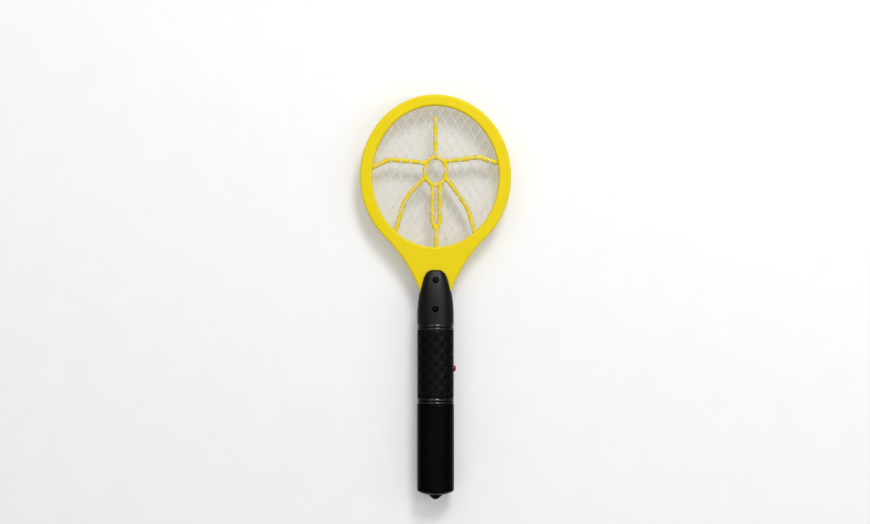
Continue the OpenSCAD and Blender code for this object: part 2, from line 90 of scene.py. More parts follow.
# The head: an oval that flares into the neck, and the tang inside the handle
HEAD_HALF_H = 80.9
HEAD_Y = HEAD_TOP_Y - HEAD_HALF_H
FLARE_R = 144.8
FLARE_ANGLE = math.radians(45.6)
NECK_Y = 5.5
TANG_HALF_W = 11.5
SHELL_WALL = 2.0
SEAM_GAP = 0.02

# The opening, the rims that the ring hides, and the wires
RIM = 6.3
RIM_INNER = 1.5
OPENING_HALF_W = grid_high.x - RIM
OPENING_HALF_H = spacer_high.y - RIM - HEAD_Y
WIRE_ANGLE = math.radians(58.3)
OUTER_PITCH = 8.3
CENTRE_PITCH = OUTER_PITCH / 3
CROSSING_Y = 188.5

# The handle, from the nose to the spigot
GRIP_R = 18.0
HANDLE_WALL = 2.2
NOSE_ROOT_Y = -18.0
NOSE_CURVE_R = 120.0
NOSE_FACE_R = 132.0
NOSE_CORNER_R = 8.9
NOSE_CORNER_X = 2.87
NOSE_CORNER_SLOPE = math.radians(18.5)
UPPER_BEAD_Y = -29.5
LOWER_BEAD_Y = -102.6
BEAD_GAP = 1.5
BEAD_R = 1.45
HANDLE_END_Y = -105.5
SPIGOT_R = 15.95
SPIGOT_WALL = 2.35
SCREW_Y = (16.9, -11.7)
SCREW_HOLE_R = 1.55
RECESS_FLOOR_Z = (8.4, 9.6)
RECESS_R = 3.2
BOSS_R = 5
BUTTON_HOLE_R = 3.25
LED_HOLE_R = 1.6

# The grip's squares: columns in degrees round the handle, rows along it
COLUMN = 20
COLUMN_STEPS = 4
ROWS = 11
SQUARE_DEPTH = 0.16
CHAMFER = 0.3
GRIP_TOP_Y = UPPER_BEAD_Y - 2.9
GRIP_END_Y = LOWER_BEAD_Y + 2.6
ROW_PITCH = (GRIP_TOP_Y - GRIP_END_Y) / ROWS

# The guard ribs, as chains of points that start at the oval hub
RIB_HALF_W = 2.2
RIB_HALF_H = (spacer_high.z - spacer_low.z) / 2
RIB_Z = (spacer_low.z + spacer_high.z) / 2 - AXIS_Z
HUB_Y = 124.5
HUB_HALF = (10.7, 13.5)
RIB_CHAINS = [
    [(0, 138), (0, 176)],
    [(-9, 132.5), (-33.5, 135), (-45, 136), (-51.5, 133.5), (-64, 127)],
    [(9, 134), (29.5, 136.5), (43, 138.5), (50, 136), (63, 132)],
    [(-9, 119), (-13.5, 115), (-24.5, 103.5), (-30, 96), (-33.5, 87), (-40, 62)],
    [(9, 119), (17, 109.5), (27.5, 94.5), (32, 87), (39, 63)],
    [(-3, 112), (-3, 73), (0.8, 66.5), (0.8, 46)],
    [(4.5, 112), (4.5, 73), (0.8, 66.5)],
]

# The battery tube, with a dome that flattens towards the nub
TUBE_BORE_R = 16.0
TUBE_INNER_END_Y = -187.0
TUBE_EDGE_Y = -191.1
DOME_H = 4.15
DOME_POWER = 3.55
NUB_R = 7.5
NUB_TIP_R = 5.5


# ---------- mesh helpers ----------

def mm(points):
    """Turns points in millimetres round the swatter's axis into metres over the floor."""
    return [(x * MM, y * MM, (z + AXIS_Z) * MM) for x, y, z in points]


def new_piece(name, points, faces, sharp=40):
    """Makes an object from points in millimetres; edges sharper than the angle stay crisp."""
    mesh = bpy.data.meshes.new(name)
    mesh.from_pydata(mm(points), [], faces)
    obj = bpy.data.objects.new(name, mesh)
    scene.collection.objects.link(obj)
    tidy_mesh(obj, sharp)
    return obj


def tidy_mesh(obj, sharp=40):
    """Welds doubled points, turns every face outwards and sets smooth shading."""
    work = bmesh.new()
    work.from_mesh(obj.data)
    bmesh.ops.remove_doubles(work, verts=work.verts, dist=0.002 * MM)
    bmesh.ops.recalc_face_normals(work, faces=work.faces)
    work.to_mesh(obj.data)
    work.free()
    obj.data.shade_smooth()
    obj.data.set_sharp_from_angle(angle=math.radians(sharp))


def loft(loops, ring=False):
    """Quads between neighbouring closed loops; ring joins the last loop to the first."""
    count = len(loops[0])
    points = [p for loop in loops for p in loop]
    faces = []
    rows = len(loops) if ring else len(loops) - 1
    for row in range(rows):
        low = row * count
        high = (row + 1) % len(loops) * count
        for i in range(count):
            j = (i + 1) % count
            faces.append((low + i, low + j, high + j, high + i))
    return points, faces


def revolve(profile, steps, place, radius=None):
    """Turns (r, s) points round an axis; place(r*cos, r*sin, s) gives the point in space."""
    points = []
    rows = []
    for r, s in profile:
        if r < 1e-6:
            rows.append([len(points)] * steps)
            points.append(place(0, 0, s))
            continue
        rows.append(list(range(len(points), len(points) + steps)))
        for i in range(steps):
            turn = 2 * math.pi * i / steps
            bent = radius(r, s, turn) if radius else r
            points.append(place(bent * math.cos(turn), bent * math.sin(turn), s))
    faces = []
    for low, high in zip(rows, rows[1:]):
        for i in range(steps):
            j = (i + 1) % steps
            corners = []
            for corner in (low[i], low[j], high[j], high[i]):
                if corner not in corners:
                    corners.append(corner)
            if len(corners) > 2:
                faces.append(tuple(corners))
    return points, faces


def along_y(u, v, s):
    """Axis along the swatter: s is the station along Y."""
    return (u, s, v)


def merge(*parts):
    """Joins several (points, faces) meshes into one."""
    points = []
    faces = []
    for part_points, part_faces in parts:
        base = len(points)
        points += part_points
        faces += [tuple(base + i for i in face) for face in part_faces]
    return points, faces


def flip_z(part):
    """The mirror image of a mesh below the mid-plane."""
    points, faces = part
    return [(x, y, -z) for x, y, z in points], faces


def arc(centre, radius, start, end, steps):
    """Points of a circle's arc in a plane, both ends included."""
    turns = np.linspace(math.radians(start), math.radians(end), steps + 1)
    return [(centre[0] + radius * math.cos(t), centre[1] + radius * math.sin(t)) for t in turns]


def bake_modifiers(obj):
    """Replaces an object's mesh by what its modifiers make of it."""
    depsgraph = bpy.context.evaluated_depsgraph_get()
    result = bpy.data.meshes.new_from_object(obj.evaluated_get(depsgraph))
    obj.modifiers.clear()
    obj.data = result


def cut_object(obj, tool):
    """Cuts one object out of another, and deletes the one that cuts."""
    boolean = obj.modifiers.new("cut", "BOOLEAN")
    boolean.object = tool
    boolean.operation = "DIFFERENCE"
    boolean.solver = "EXACT"
    bake_modifiers(obj)
    bpy.data.objects.remove(tool)


def cut(obj, part):
    """Cuts a closed (points, faces) mesh out of an object."""
    cut_object(obj, new_piece("cutter", *part))


def turn_over(obj):
    """Mirrors an object's mesh to the other side of the mid-plane."""
    for vertex in obj.data.vertices:
        vertex.co.z = 2 * AXIS_Z * MM - vertex.co.z


# ---------- materials ----------

class Nodes:
    """A material's node tree, with short ways to add what plastics and metals need."""

    # Most of a noise lies between these factors
    NOISE_LOW = 0.3
    NOISE_HIGH = 0.7

    def __init__(self, name):
        """Starts a material that has a shader and object coordinates."""
        self.material = bpy.data.materials.new(name)
        self.material.use_nodes = True
        self.tree = self.material.node_tree
        self.shader = self.tree.nodes["Principled BSDF"]
        self.coords = self.tree.nodes.new("ShaderNodeTexCoord").outputs["Object"]

    def add(self, kind, **values):
        """Adds a node, and sets its sockets or settings by name."""
        node = self.tree.nodes.new(kind)
        for key, value in values.items():
            if key in node.inputs:
                node.inputs[key].default_value = value
            else:
                setattr(node, key, value)
        return node

    def link(self, source, target):
        """Joins an output to an input."""
        self.tree.links.new(source, target)

    def noise(self, scale, detail=3.0, stretch=None):
        """Noise at a scale per metre; stretch squeezes it along the axes."""
        texture = self.add("ShaderNodeTexNoise", Scale=scale, Detail=detail)
        source = self.coords
        if stretch:
            mapping = self.add("ShaderNodeMapping", Scale=stretch)
            self.link(source, mapping.inputs["Vector"])
            source = mapping.outputs["Vector"]
        self.link(source, texture.inputs["Vector"])
        return texture.outputs["Fac"]

    def spread(self, source, low, high):
        """Maps a noise onto a range of numbers."""
        node = self.add("ShaderNodeMapRange")
        node.inputs["From Min"].default_value = self.NOISE_LOW
        node.inputs["From Max"].default_value = self.NOISE_HIGH
        node.inputs["To Min"].default_value = low
        node.inputs["To Max"].default_value = high
        self.link(source, node.inputs["Value"])
        return node.outputs["Result"]

    def blend_colour(self, source, first, second):
        """Maps a noise onto a run between two colours."""
        ramp = self.add("ShaderNodeValToRGB")
        ramp.color_ramp.elements[0].position = self.NOISE_LOW
        ramp.color_ramp.elements[0].color = (*first, 1)
        ramp.color_ramp.elements[1].position = self.NOISE_HIGH
        ramp.color_ramp.elements[1].color = (*second, 1)
        self.link(source, ramp.inputs["Fac"])
        return ramp.outputs["Color"]

    def bump(self, source, height_mm, strength, below=None):
        """Turns a noise into relief, on top of the relief below it."""
        node = self.add("ShaderNodeBump", Strength=strength, Distance=height_mm * MM)
        self.link(source, node.inputs["Height"])
        if below:
            self.link(below, node.inputs["Normal"])
        return node.outputs["Normal"]

    def to_shader(self, **sockets):
        """Sets or links the shader's sockets, and gives the material."""
        for name, value in sockets.items():
            socket = self.shader.inputs[name.replace("_", " ")]
            if isinstance(value, bpy.types.NodeSocket):
                self.link(value, socket)
            else:
                socket.default_value = value
        return self.material


MATERIALS = {}


def shade(colour, factor):
    """A colour made lighter or darker by a factor."""
    return tuple(min(1, c * factor) for c in colour)


def plastic(name, colour, rough, grain_mm=0.5, grain_height=0.01, drift=0.05,
            specular=0.5, ripple_height=0.02):
    """Moulded plastic: slow colour drift, uneven gloss, moulding grain and flow ripples."""
    n = Nodes(name)
    slow = n.noise(45, detail=2)
    cloud = n.noise(240, detail=4)
    grain = n.noise(1000 / grain_mm, detail=2)
    ripple = n.noise(90, detail=1)
    normal = n.bump(ripple, ripple_height, 0.25)
    MATERIALS[name] = n.to_shader(
        Base_Color=n.blend_colour(slow, shade(colour, 1 - drift), shade(colour, 1 + drift)),
        Roughness=n.spread(cloud, rough * 0.88, rough * 1.15),
        Normal=n.bump(grain, grain_height, 0.6, normal),
        Specular_IOR_Level=specular,
    )


def metal(name, colour, rough, stretch=None, scratch=0.006, metallic=1.0):
    """Bare metal with drawing or rolling marks and spots of duller surface."""
    n = Nodes(name)
    marks = n.noise(2500, detail=3, stretch=stretch)
    spots = n.noise(400, detail=4)
    MATERIALS[name] = n.to_shader(
        Base_Color=n.blend_colour(spots, shade(colour, 0.85), shade(colour, 1.05)),
        Roughness=n.spread(spots, rough * 0.7, rough * 1.4),
        Normal=n.bump(marks, scratch, 0.5),
        Metallic=metallic,
    )


YELLOW = (0.80, 0.62, 0.0)
BLACK = (0.010, 0.010, 0.011)

# Name, colour, roughness, size and height of the grain in mm, drift of the colour
plastic("yellow_shell", YELLOW, 0.42, 0.6, 0.006, 0.02, specular=0.24)
plastic("yellow_rib", shade(YELLOW, 0.97), 0.36, 0.5, 0.004, 0.03, specular=0.4)
plastic("black_nose", shade(BLACK, 0.5), 0.42, 0.35, 0.012, 0.15, specular=0.27)
plastic("grip_raised", shade(BLACK, 0.3), 0.36, 0.35, 0.008, 0.15, specular=0.11)
plastic("grip_sunk", shade(BLACK, 0.28), 0.5, 0.25, 0.02, 0.2, specular=0.06)
plastic("black_bead", shade(BLACK, 0.4), 0.13, 0.5, 0.002, 0.15, specular=0.7, ripple_height=0.004)
plastic("black_tube", shade(BLACK, 0.14), 0.2, 0.5, 0.004, 0.2, specular=0.06)
plastic("red_button", (0.30, 0.012, 0.03), 0.25, 0.5, 0.003, 0.06)
plastic("red_lens", (0.45, 0.01, 0.012), 0.12, 0.5, 0.002, 0.05)
plastic("white_plastic", (0.76, 0.76, 0.72), 0.4)
plastic("black_component", (0.018, 0.018, 0.02), 0.5, 0.3, 0.02, 0.2)
plastic("green_board", (0.015, 0.14, 0.045), 0.35, 0.4, 0.02, 0.15)
plastic("ferrite", (0.045, 0.045, 0.05), 0.7, 0.3, 0.03, 0.2)
plastic("red_capacitor", (0.30, 0.04, 0.02), 0.3, 0.8, 0.01, 0.1)
plastic("blue_capacitor", (0.02, 0.10, 0.34), 0.3, 0.8, 0.01, 0.1)
plastic("tan_component", (0.46, 0.31, 0.15), 0.4, 0.5, 0.01, 0.12)
plastic("red_lead", (0.42, 0.02, 0.015), 0.45, 0.6, 0.01, 0.1)
plastic("cell_jacket", (0.50, 0.25, 0.03), 0.3, 0.8, 0.004, 0.06)

# Name, colour, roughness, stretch and depth of the marks
metal("grid_wire", (0.88, 0.88, 0.87), 0.35, metallic=0.35)
# The screws' steel is painted almost black: painted shade of the deep recesses that the screws sit in
metal("screw_steel", (0.03, 0.03, 0.032), 0.4)
metal("contact_brass", (0.68, 0.47, 0.17), 0.3)
metal("spring_steel", (0.66, 0.66, 0.67), 0.25)
metal("copper_winding", (0.55, 0.20, 0.07), 0.35, (1, 1, 6), 0.03)


def finish_piece(obj, body, material, nodes=()):
    """Gives a piece its material and its body, and hides the CAD nodes that it stands for."""
    if not obj.data.materials:
        obj.data.materials.append(MATERIALS[material])
    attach(obj, body)
    if nodes:
        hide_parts(*nodes)


# ---------- outline of the head ----------

JOIN = math.atan(HEAD_HALF_H / HEAD_HALF_W * math.tan(FLARE_ANGLE))
JOIN_POINT = np.array([HEAD_HALF_W * math.cos(JOIN), HEAD_Y - HEAD_HALF_H * math.sin(JOIN)])
FLARE_CENTRE = JOIN_POINT + FLARE_R * np.array([math.cos(FLARE_ANGLE), -math.sin(FLARE_ANGLE)])
NECK_ANGLE = math.asin((NECK_Y - FLARE_CENTRE[1]) / FLARE_R)


def oval_point(turn, inset):
    """A point of the head's oval, moved inwards."""
    normal = np.array([math.cos(turn) / HEAD_HALF_W, math.sin(turn) / HEAD_HALF_H])
    point = np.array([HEAD_HALF_W * math.cos(turn), HEAD_Y + HEAD_HALF_H * math.sin(turn)])
    return point - inset * normal / np.linalg.norm(normal)


def flare_point(turn, inset):
    """A point of the arc between the oval and the neck, moved inwards."""
    return FLARE_CENTRE - (FLARE_R + inset) * np.array([math.cos(turn), -math.sin(turn)])


def head_outline(inset):
    """The head's outline from the top down the right side and up the left, moved inwards."""
    side = [oval_point(t, inset) for t in np.linspace(math.pi / 2, -JOIN, 91)]
    side += [flare_point(t, inset) for t in np.linspace(FLARE_ANGLE, NECK_ANGLE, 25)[1:]]
    shoulder_y = side[-1][1]
    side.append(np.array([TANG_HALF_W - inset, shoulder_y]))
    tang_stations = np.linspace(shoulder_y, TANG_END_Y + inset, 9)[1:]
    side += [np.array([TANG_HALF_W - inset, y]) for y in tang_stations]
    side.append(np.array([0.0, TANG_END_Y + inset]))
    left = [np.array([-p[0], p[1]]) for p in reversed(side[1:-1])]
    return side + left


def opening_outline(grow):
    """The opening's oval, at the polar angles of the head's outline."""
    points = []
    for x, y in head_outline(0):
        turn = math.atan2(y - HEAD_Y, x)
        a = OPENING_HALF_W + grow
        b = OPENING_HALF_H + grow
        reach = 1 / math.hypot(math.cos(turn) / a, math.sin(turn) / b)
        points.append(np.array([reach * math.cos(turn), HEAD_Y + reach * math.sin(turn)]))
    return points


def at_height(outline, z):
    """An outline's points at one height over the mid-plane."""
    return [(x, y, z) for x, y in outline]


def head_shell():
    """A hollow head shell: outer wall, rounded edge, flat face, rounded opening edge."""
    edge_r = 2.1
    lip_r = 1.9
    seam_r = 0.25
    face_margin = 0.4
    inner_z = FACE_Z - SHELL_WALL
    loops = [at_height(head_outline(seam_r), SEAM_GAP), at_height(head_outline(0.0), seam_r)]
    for turn in np.linspace(0, math.pi / 2, 7):
        inset = edge_r * (1 - math.cos(turn))
        loops.append(at_height(head_outline(inset), FACE_Z - edge_r + edge_r * math.sin(turn)))
    face_outer = head_outline(edge_r + face_margin)
    face_inner = opening_outline(lip_r + face_margin)
    for share in np.linspace(0, 1, 7):
        row = [a * (1 - share) + b * share for a, b in zip(face_outer, face_inner)]
        loops.append(at_height(row, FACE_Z))
    for turn in np.linspace(math.pi / 2, 0, 6):
        grow = lip_r * (1 - math.cos(turn))
        loops.append(at_height(opening_outline(grow), FACE_Z - lip_r + lip_r * math.sin(turn)))
    loops.append(at_height(opening_outline(0), inner_z))
    loops.append(at_height(head_outline(SHELL_WALL), inner_z))
    loops.append(at_height(head_outline(SHELL_WALL), SEAM_GAP))
    return loft(loops, ring=True)


# ---------- wires and guard ribs ----------

def chord(angle, offset, grow):
    """Where the line at an offset from the opening's centre crosses the grown oval."""
    a = OPENING_HALF_W + grow
    b = OPENING_HALF_H + grow
    d = np.array([math.cos(angle) / a, math.sin(angle) / b])
    n = np.array([-math.sin(angle) / a, math.cos(angle) / b]) * offset
    qa = d @ d
    qb = 2 * (d @ n)
    qc = n @ n - 1
    room = qb * qb - 4 * qa * qc
    shortest = 6.0
    if room <= (qa * shortest) ** 2:
        return None
    return (-qb - math.sqrt(room)) / (2 * qa), (-qb + math.sqrt(room)) / (2 * qa)


def straight_wire(start, end, radius):
    """A round wire between two points at the same height."""
    sides = 8
    start = np.array(start)
    end = np.array(end)
    d = (end - start) / np.linalg.norm(end - start)
    side = np.array([-d[1], d[0], 0.0])
    up = np.array([0.0, 0.0, 1.0])
    turns = [2 * math.pi * k / sides for k in range(sides)]
    section = [radius * (math.cos(t) * side + math.sin(t) * up) for t in turns]
    loops = [[tuple(centre + p) for p in section] for centre in (start, end)]
    points, faces = loft(loops)
    faces.append(tuple(reversed(range(sides))))
    faces.append(tuple(range(sides, 2 * sides)))
    return points, faces


def lattice(pitch, radius, heights, grow):
    """Two families of parallel wires that cross on the centre line near the top."""
    parts = []
    shift = (CROSSING_Y - HEAD_Y) * math.cos(WIRE_ANGLE)
    count = int(OPENING_HALF_H / pitch) + 2
    for side, height in zip((-1, 1), heights):
        angle = side * WIRE_ANGLE
        along = np.array([math.cos(angle), math.sin(angle)])
        across = np.array([-math.sin(angle), math.cos(angle)])
        for i in range(-count, count + 1):
            offset = (shift / pitch % 1 + i) * pitch
            ends = chord(angle, offset, grow)
            if ends:
                a, b = [across * offset + along * u + np.array([0, HEAD_Y]) for u in ends]
                parts.append(straight_wire((*a, height), (*b, height), radius))
    return parts


def rim_band(z_low, z_high, tab_x):
    """The flat rim of a grid, hidden in the ring, and its solder tab."""
    outer = opening_outline(RIM)
    inner = opening_outline(RIM_INNER)
    band = loft([at_height(outer, z_low), at_height(outer, z_high),
                 at_height(inner, z_high), at_height(inner, z_low)], ring=True)
    tab_end = tab_x + 6
    tab_low = 36
    tab_high = 42
    corners = [(tab_x, tab_low), (tab_end, tab_low), (tab_end, tab_high), (tab_x, tab_high)]
    points, faces = loft([at_height(corners, z_low), at_height(corners, z_high)])
    faces += [(3, 2, 1, 0), (4, 5, 6, 7)]
    return band, (points, faces)


def outer_grid():
    """The coarse grid in front of the ribs, with its two layers of wire pressed together."""
    wire_r = 0.26
    layer = 0.11
    half_rim = 0.28
    into_rim = RIM_INNER + 1.5
    parts = lattice(OUTER_PITCH, wire_r, (GRID_Z - layer, GRID_Z + layer), into_rim)
    return merge(*parts, *rim_band(GRID_Z - half_rim, GRID_Z + half_rim, tab_x=1))


def centre_grid():
    """The fine mesh in the mid-plane."""
    wire_r = 0.08
    half_rim = 0.5
    into_rim = RIM_INNER + 0.6
    parts = lattice(CENTRE_PITCH, wire_r, (-wire_r, wire_r), into_rim)
    return merge(*parts, *rim_band(-half_rim, half_rim, tab_x=-7))


def rounded_path(points):
    """A chain of points with each corner replaced by a short curve."""
    cut_mm = 4.0
    steps = 5
    spacing = 1.5
    points = [np.array(p, float) for p in points]
    path = [points[0]]
    for before, corner, after in zip(points, points[1:], points[2:]):
        length_in = np.linalg.norm(before - corner)
        length_out = np.linalg.norm(after - corner)
        reach = min(cut_mm, length_in / 2, length_out / 2)
        a = corner + (before - corner) / length_in * reach
        b = corner + (after - corner) / length_out * reach
        for t in np.linspace(0, 1, steps + 1):
            path.append((1 - t) ** 2 * a + 2 * t * (1 - t) * corner + t ** 2 * b)
    path.append(points[-1])
    dense = [path[0]]
    for a, b in zip(path, path[1:]):
        parts = max(1, int(np.linalg.norm(b - a) / spacing))
        dense += [a + (b - a) * k / parts for k in range(1, parts + 1)]
    return dense


def rib_section(centre, tangent, half_w, half_h):
    """An oval section across a rib."""
    sides = 16
    side = np.array([-tangent[1], tangent[0]])
    loop = []
    for k in range(sides):
        t = 2 * math.pi * k / sides
        x, y = centre + side * half_w * math.cos(t)
        loop.append((x, y, RIB_Z + half_h * math.sin(t)))
    return loop


def rib(chain):
    """A round rib along a chain of points, a little thicker at each knee."""
    knee_reach = 4
    knee_swell = 0.15
    path = rounded_path(chain)
    knees = [np.array(p) for p in chain[1:-1]]
    loops = []
    for i, point in enumerate(path):
        d = path[min(i + 1, len(path) - 1)] - path[max(i - 1, 0)]
        nearness = [math.exp(-(np.linalg.norm(point - k) / knee_reach) ** 2) for k in knees]
        swell = 1 + knee_swell * max(nearness, default=0)
        loops.append(rib_section(point, d / np.linalg.norm(d), RIB_HALF_W * swell, RIB_HALF_H))
    last = path[-1] - path[-2]
    last = last / np.linalg.norm(last)
    for t in np.linspace(0, math.pi / 2, 5)[1:]:
        size = max(0.05, math.cos(t))
        centre = path[-1] + last * RIB_HALF_W * math.sin(t)
        loops.append(rib_section(centre, last, RIB_HALF_W * size, RIB_HALF_H * size))
    points, faces = loft(loops)
    count = len(loops[0])
    faces += [tuple(reversed(range(count))), tuple(range(len(points) - count, len(points)))]
    return points, faces


def hub():
    """The oval ring that the ribs spring from."""
    loops = []
    for t in np.linspace(0, 2 * math.pi, 73)[:-1]:
        centre = np.array([HUB_HALF[0] * math.cos(t), HUB_Y + HUB_HALF[1] * math.sin(t)])
        d = np.array([-HUB_HALF[0] * math.sin(t), HUB_HALF[1] * math.cos(t)])
        loops.append(rib_section(centre, d / np.linalg.norm(d), RIB_HALF_W, RIB_HALF_H))
    return loft(loops, ring=True)


def guard_ribs(name, front):
    """The spider of ribs, filleted where they join, and the ring that carries it."""
    voxel = 0.42
    chamfer = 0.3
    spider = new_piece(name, *merge(hub(), *[rib(chain) for chain in RIB_CHAINS]))
    remesh = spider.modifiers.new("remesh", "REMESH")
    remesh.mode = "VOXEL"
    remesh.voxel_size = voxel * MM
    smooth = spider.modifiers.new("smooth", "SMOOTH")
    smooth.factor = 0.5
    smooth.iterations = 4
    bake_modifiers(spider)
    low = RIB_Z - RIB_HALF_H
    high = RIB_Z + RIB_HALF_H
    outer = opening_outline(RIM)
    edge = opening_outline(chamfer)
    wall = opening_outline(0)
    ring = loft([at_height(outer, low), at_height(outer, high), at_height(edge, high),
                 at_height(wall, high - chamfer), at_height(wall, low + chamfer),
                 at_height(edge, low)], ring=True)
    ring_object = new_piece("ring", *ring)
    work = bmesh.new()
    work.from_mesh(spider.data)
    work.from_mesh(ring_object.data)
    work.to_mesh(spider.data)
    work.free()
    bpy.data.objects.remove(ring_object)
    if not front:
        turn_over(spider)
        spider.data.flip_normals()
    spider.data.shade_smooth()
    spider.data.set_sharp_from_angle(angle=math.radians(40))
    return spider


# ---------- handle ----------

def handle_turns():
    """Angles across a handle half, in degrees, with a close pair at each column's edge."""
    edge = math.degrees(CHAMFER / GRIP_R)
    turns = [0.0]
    for column in range(180 // COLUMN):
        start = column * COLUMN
        turns += list(np.linspace(start + edge, start + COLUMN - edge, COLUMN_STEPS + 1))
    turns.append(180.0)
    return turns


def nose_half_w(y):
    """Half the width of the nose at a station, seen from the front."""
    corner_y = NOSE_TIP_Y - NOSE_CORNER_R
    if y > corner_y + NOSE_CORNER_R * math.sin(NOSE_CORNER_SLOPE):
        return NOSE_CORNER_X + math.sqrt(max(0, NOSE_CORNER_R ** 2 - (y - corner_y) ** 2))
    return GRIP_R - NOSE_CURVE_R + math.sqrt(NOSE_CURVE_R ** 2 - max(0, y - NOSE_ROOT_Y) ** 2)


def nose_half_h(y):
    """Half the height of the nose at a station, rounded down at the tip."""
    height = GRIP_R - NOSE_FACE_R + math.sqrt(NOSE_FACE_R ** 2 - max(0, y - NOSE_ROOT_Y) ** 2)
    round_r = 1.6
    over = y - (NOSE_TIP_Y - round_r)
    if over > 0:
        height -= round_r - math.sqrt(max(0, round_r ** 2 - over ** 2))
    return height


def nose_radius(turn, y, inset=0.0):
    """Distance from the axis to the nose's skin: a circle that grows squarer to the tip."""
    share = max(0, (y - NOSE_ROOT_Y) / (NOSE_TIP_Y - NOSE_ROOT_Y))
    power = 2 + 1.5 * share ** 2
    c = abs(math.cos(turn)) / (nose_half_w(y) - inset)
    s = abs(math.sin(turn)) / (nose_half_h(y) - inset)
    return (c ** power + s ** power) ** (-1 / power)


def bead_height(y):
    """How far a bead pair or its groove stands over the grip's radius at a station."""
    height = 0.0
    crest = TUBE_R - 0.05 - GRIP_R
    middle_groove = -0.75
    side_groove = -0.25
    for bead_y in (UPPER_BEAD_Y, LOWER_BEAD_Y):
        away = abs(y - bead_y)
        from_bead = abs(away - BEAD_GAP)
        if from_bead < BEAD_R:
            height = crest - BEAD_R + math.sqrt(BEAD_R ** 2 - from_bead ** 2)
            height = max(height, middle_groove if away < BEAD_GAP else side_groove)
    return height


def skin_radius(turn, y):
    """Outer radius of the handle without the squares."""
    nose_end_y = UPPER_BEAD_Y + 6
    step = 0.001
    if y > nose_end_y:
        return nose_radius(turn, y)
    if y < HANDLE_END_Y - step:
        return SPIGOT_R
    return GRIP_R + bead_height(y)


def square_sunk(column, row):
    """Every other square of the grip is sunk."""
    return (column + row) % 2 == 1


def half_solid(stations, turns, radius):
    """A closed half tube above the mid-plane; radius(turn, station) is in radians and mm."""
    count = len(turns)
    points = []
    for y in stations:
        for turn in turns:
            t = math.radians(turn)
            r = radius(t, y)
            points.append((r * math.cos(t), y, r * math.sin(t)))
    faces = []
    for row in range(len(stations) - 1):
        for i in range(count - 1):
            a = row * count + i
            faces.append((a, a + 1, a + count + 1, a + count))
        low = row * count
        faces.append((low, low + count, low + 2 * count - 1, low + count - 1))
    faces.append(tuple(range(count)))
    last = (len(stations) - 1) * count
    faces.append(tuple(reversed(range(last, last + count))))
    return points, faces


def column_of(turn):
    """Column of an angle in radians, and whether it lies inside the column's flat."""
    degrees = math.degrees(turn)
    edge = math.degrees(CHAMFER / GRIP_R) * 0.9
    column = min(int(degrees // COLUMN), 180 // COLUMN - 1)
    inside = column * COLUMN + edge <= degrees <= (column + 1) * COLUMN - edge
    return column, inside


def handle_outer():
    """The outside of a handle half, from the nose to the spigot."""
    corner = NOSE_CORNER_R
    gap = 0.1
    bead_span = 3.1
    end_bevel = 0.25
    spigot_bevel = 0.4
    nose = [NOSE_TIP_Y - corner * (1 - math.cos(t)) for t in np.linspace(0.03, math.pi / 2, 22)]
    nose += list(np.linspace(NOSE_TIP_Y - corner, UPPER_BEAD_Y + bead_span + 2 * gap, 50))[1:]
    upper = list(np.linspace(UPPER_BEAD_Y + bead_span, GRIP_TOP_Y + gap, 40))
    grip = []
    for row in range(ROWS):
        top = GRIP_TOP_Y - row * ROW_PITCH
        grip += [top - CHAMFER, top - ROW_PITCH / 2, top - ROW_PITCH + CHAMFER]
    lower = list(np.linspace(GRIP_END_Y - gap, HANDLE_END_Y + 3 * gap, 36))
    end = [HANDLE_END_Y, HANDLE_END_Y - 0.002, SPIGOT_END_Y + spigot_bevel, SPIGOT_END_Y]
    stations = nose + upper + grip + lower + end

    def radius(turn, y):
        r = skin_radius(turn, y)
        if GRIP_END_Y < y < GRIP_TOP_Y:
            row = int((GRIP_TOP_Y - y) // ROW_PITCH)
            column, inside = column_of(turn)
            if inside and square_sunk(column, row):
                r -= SQUARE_DEPTH
        if y == HANDLE_END_Y:
            r -= end_bevel
        if y == SPIGOT_END_Y:
            r -= spigot_bevel
        return r

    return half_solid(stations, handle_turns(), radius)


def cylinder_z(y, z_low, z_high, radius, steps=48):
    """A closed upright cylinder on the centre line."""
    profile = [(0, z_low), (radius, z_low), (radius, z_high), (0, z_high)]
    return revolve(profile, steps, lambda u, v, s: (u, y + v, s))


def cylinder_x(x_low, x_high, y, radius):
    """A closed cylinder across the handle, at the height of its axis."""
    profile = [(0, x_low), (radius, x_low), (radius, x_high), (0, x_high)]
    return revolve(profile, 40, lambda u, v, s: (s, y + u, v))


def handle_cavity():
    """The space inside a handle half, before the boss of the lower screw is cut from it."""
    turns = list(np.linspace(0, 180, 37))
    wall = HANDLE_WALL
    gap = 0.1
    throat_y = HANDLE_END_Y + 5

    def radius(turn, y):
        if y > UPPER_BEAD_Y:
            return nose_radius(turn, y, wall)
        if y > throat_y:
            return GRIP_R - wall
        return SPIGOT_R - SPIGOT_WALL

    stations = list(np.linspace(NECK_Y - 2, UPPER_BEAD_Y + gap, 16))
    stations += [UPPER_BEAD_Y - gap, throat_y + gap / 10, throat_y - gap / 10, SPIGOT_END_Y - 1]
    return half_solid(stations, turns, radius)


def lower_by(part, depth):
    """A mesh moved down by a depth."""
    points, faces = part
    return [(x, y, z - depth) for x, y, z in points], faces


